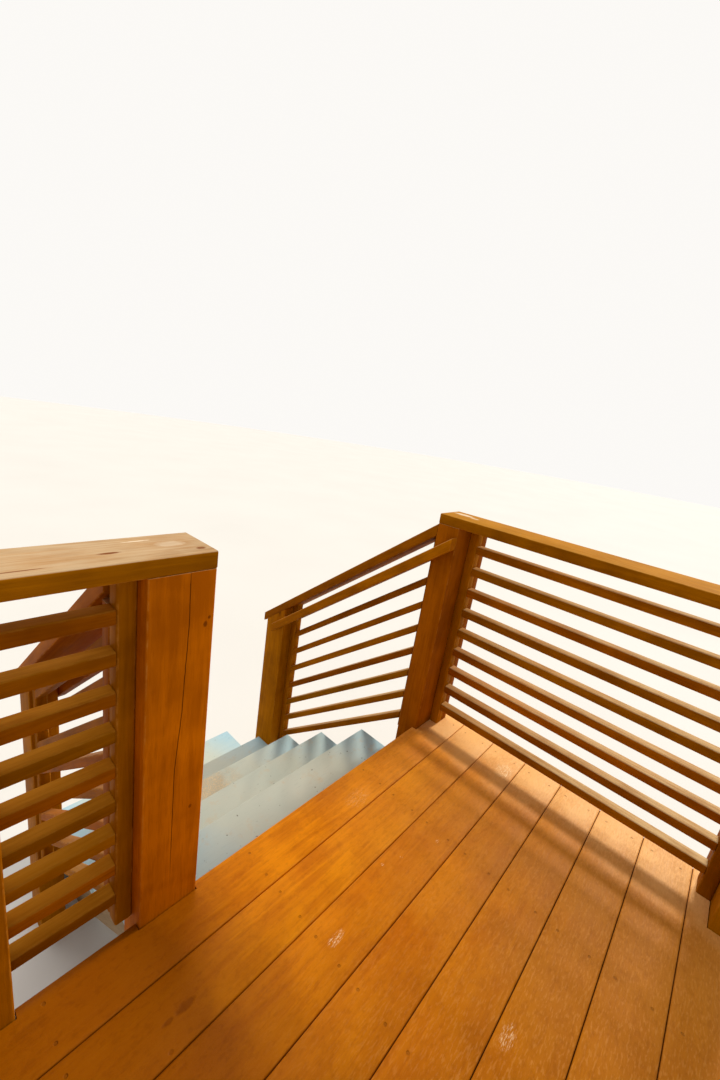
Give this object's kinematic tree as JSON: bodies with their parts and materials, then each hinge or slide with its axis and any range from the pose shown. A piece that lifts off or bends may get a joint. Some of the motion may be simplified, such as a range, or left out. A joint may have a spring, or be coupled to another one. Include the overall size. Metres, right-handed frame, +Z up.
{
  "type": "wooden deck stairs with landing",
  "caption": "Raised timber landing on posts with horizontal-slat railings, flat caps and an open straight flight of painted treads with sloping caps and handrails.",
  "frame": {"origin": "on the ground, under the middle of the bounding box", "axes": "+X along the front edge of the deck, from the wide slat bay towards the stairs; +Y down the stairs, away from the house; +Z up"},
  "size_m": [2.566, 2.454, 1.997],
  "materials": {
    "deck_paint": "worn orange-brown stain, satin",
    "rail_paint": "orange-brown stain, satin",
    "tread_paint": "grey-blue paint, worn",
    "framing_wood": "weathered bare lumber"
  },
  "bodies": {
    "root": {"deck_board_1": "deck_paint", "deck_board_2": "deck_paint", "deck_board_3": "deck_paint", "deck_board_4": "deck_paint", "deck_board_5": "deck_paint", "deck_board_6": "deck_paint", "deck_board_7": "deck_paint", "deck_board_8": "deck_paint", "joists": "framing_wood", "front_rim": "rail_paint", "left_rim": "rail_paint", "right_rim": "rail_paint", "house_ledger": "framing_wood", "stair_post_left": "rail_paint", "stair_post_right": "rail_paint", "middle_post": "rail_paint", "left_corner_post": "rail_paint", "left_rear_post": "rail_paint", "right_rear_post": "rail_paint", "newel_left": "rail_paint", "newel_right": "rail_paint", "front_cap": "rail_paint", "left_cap": "rail_paint", "right_cap": "rail_paint", "stair_cap_left": "rail_paint", "stair_cap_right": "rail_paint", "handrail_left": "rail_paint", "handrail_right": "rail_paint", "narrow_slat_panel": "rail_paint", "wide_slat_panel": "rail_paint", "left_slat_panel": "rail_paint", "right_slat_panel": "rail_paint", "front_nailers": "rail_paint", "left_nailers": "rail_paint", "right_nailers": "rail_paint", "stair_slat_panel_left": "rail_paint", "stair_slat_panel_right": "rail_paint", "stringer_1": "framing_wood", "stringer_2": "framing_wood", "stringer_3": "framing_wood", "tread_1": "tread_paint", "tread_2": "tread_paint", "tread_3": "tread_paint", "tread_4": "tread_paint", "tread_5": "tread_paint"}
  },
  "joints": []
}
